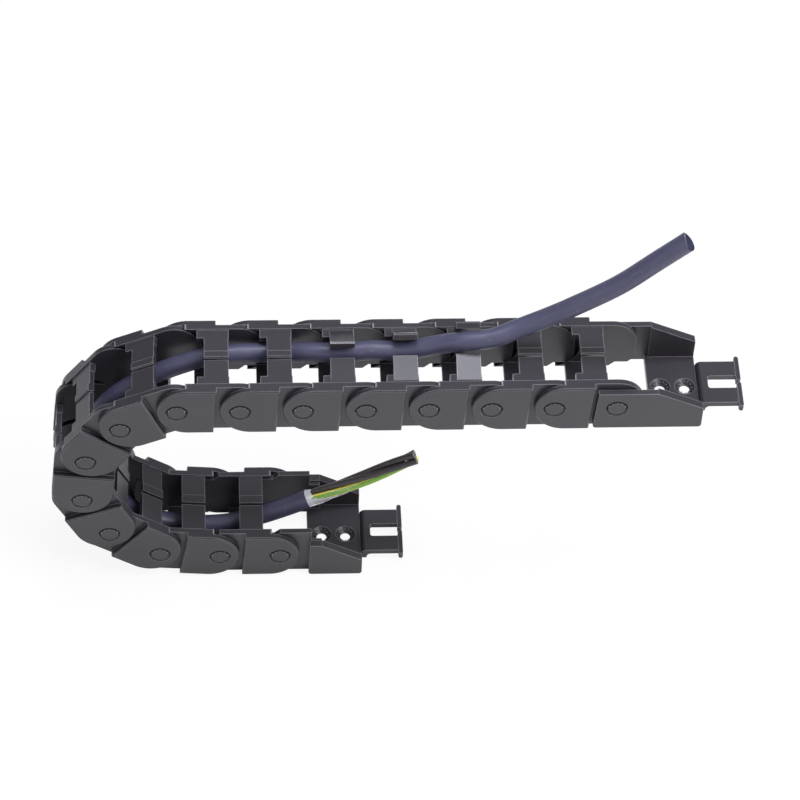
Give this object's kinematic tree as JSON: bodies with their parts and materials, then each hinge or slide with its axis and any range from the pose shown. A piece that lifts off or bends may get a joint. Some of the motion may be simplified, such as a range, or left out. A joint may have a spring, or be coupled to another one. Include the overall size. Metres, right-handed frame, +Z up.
{
  "type": "cable drag chain",
  "caption": "Black moulded cable chain bent into a half circle between two screw-down end brackets with tie combs, with one cable threaded through it.",
  "frame": {"origin": "midway between the two screw holes of the fixed end, on the underside that is screwed down", "axes": "+X along the chain from the fixed end's hinge towards its comb, +Y across the chain towards the far side plate, +Z up from the mounting surface"},
  "size_m": [0.2788, 0.038, 0.1824],
  "materials": {
    "chain_plastic": "black moulded plastic, fine satin grain",
    "cable_jacket": "blue-grey cable jacket, matt",
    "jacket_end_wrap": "pale foil and fleece at the stripped end",
    "core_green_yellow": "green and yellow core insulation",
    "core_black": "black core insulation"
  },
  "bodies": {
    "fixed_end": {"fixed_end_bracket": "chain_plastic", "fixed_end_comb": "chain_plastic", "cable_jacket": "cable_jacket", "jacket_end_wrap": "jacket_end_wrap", "core_green_yellow": "core_green_yellow", "core_black_1": "core_black", "core_black_2": "core_black", "core_black_3": "core_black"},
    "link_01_body": {"link_01": "chain_plastic"},
    "link_02_body": {"link_02": "chain_plastic"},
    "link_03_body": {"link_03": "chain_plastic"},
    "link_04_body": {"link_04": "chain_plastic"},
    "link_05_body": {"link_05": "chain_plastic"},
    "link_06_body": {"link_06": "chain_plastic"},
    "link_07_body": {"link_07": "chain_plastic"},
    "link_08_body": {"link_08": "chain_plastic"},
    "link_09_body": {"link_09": "chain_plastic"},
    "link_10_body": {"link_10": "chain_plastic"},
    "link_11_body": {"link_11": "chain_plastic"},
    "link_12_body": {"link_12": "chain_plastic"},
    "link_13_body": {"link_13": "chain_plastic"},
    "link_14_body": {"link_14": "chain_plastic"},
    "moving_end": {"moving_end_bracket": "chain_plastic", "moving_end_comb": "chain_plastic"}
  },
  "joints": [
    {"name": "joint_01", "type": "hinge", "parent": "fixed_end", "child": "link_01_body", "pos_m": [-0.023, 0, 0.0125], "axis": [0, 1, 0], "range_deg": [0, 30], "deforming": ["cable_jacket"]},
    {"name": "joint_02", "type": "hinge", "parent": "link_01_body", "child": "link_02_body", "pos_m": [-0.048, 0, 0.0125], "axis": [0, 1, 0], "range_deg": [-5, 25], "deforming": ["cable_jacket"]},
    {"name": "joint_03", "type": "hinge", "parent": "link_02_body", "child": "link_03_body", "pos_m": [-0.0729, 0, 0.01468], "axis": [0, -1, 0], "range_deg": [0, 30], "deforming": ["cable_jacket"]},
    {"name": "joint_04", "type": "hinge", "parent": "link_03_body", "child": "link_04_body", "pos_m": [-0.09338, 0, 0.02902], "axis": [0, -1, 0], "range_deg": [0, 30], "deforming": ["cable_jacket"]},
    {"name": "joint_05", "type": "hinge", "parent": "link_04_body", "child": "link_05_body", "pos_m": [-0.10395, 0, 0.05168], "axis": [0, -1, 0], "range_deg": [0, 30], "deforming": ["cable_jacket"]},
    {"name": "joint_06", "type": "hinge", "parent": "link_05_body", "child": "link_06_body", "pos_m": [-0.10177, 0, 0.07658], "axis": [0, -1, 0], "range_deg": [0, 30], "deforming": ["cable_jacket"]},
    {"name": "joint_07", "type": "hinge", "parent": "link_06_body", "child": "link_07_body", "pos_m": [-0.08743, 0, 0.09706], "axis": [0, -1, 0], "range_deg": [0, 30], "deforming": ["cable_jacket"]},
    {"name": "joint_08", "type": "hinge", "parent": "link_07_body", "child": "link_08_body", "pos_m": [-0.06477, 0, 0.10762], "axis": [0, -1, 0], "range_deg": [-5, 25], "deforming": ["cable_jacket"]},
    {"name": "joint_09", "type": "hinge", "parent": "link_08_body", "child": "link_09_body", "pos_m": [-0.03977, 0, 0.10762], "axis": [0, 1, 0], "range_deg": [0, 30], "deforming": ["cable_jacket"]},
    {"name": "joint_10", "type": "hinge", "parent": "link_09_body", "child": "link_10_body", "pos_m": [-0.01477, 0, 0.10762], "axis": [0, 1, 0], "range_deg": [0, 30], "deforming": ["cable_jacket"]},
    {"name": "joint_11", "type": "hinge", "parent": "link_10_body", "child": "link_11_body", "pos_m": [0.01023, 0, 0.10762], "axis": [0, 1, 0], "range_deg": [0, 30], "deforming": ["cable_jacket"]},
    {"name": "joint_12", "type": "hinge", "parent": "link_11_body", "child": "link_12_body", "pos_m": [0.03523, 0, 0.10762], "axis": [0, 1, 0], "range_deg": [0, 30], "deforming": ["cable_jacket"]},
    {"name": "joint_13", "type": "hinge", "parent": "link_12_body", "child": "link_13_body", "pos_m": [0.06023, 0, 0.10762], "axis": [0, 1, 0], "range_deg": [0, 30], "deforming": ["cable_jacket"]},
    {"name": "joint_14", "type": "hinge", "parent": "link_13_body", "child": "link_14_body", "pos_m": [0.08523, 0, 0.10762], "axis": [0, 1, 0], "range_deg": [0, 30], "deforming": ["cable_jacket"]},
    {"name": "joint_15", "type": "hinge", "parent": "link_14_body", "child": "moving_end", "pos_m": [0.11023, 0, 0.10762], "axis": [0, 1, 0], "range_deg": [0, 5], "deforming": ["cable_jacket"]}
  ]
}
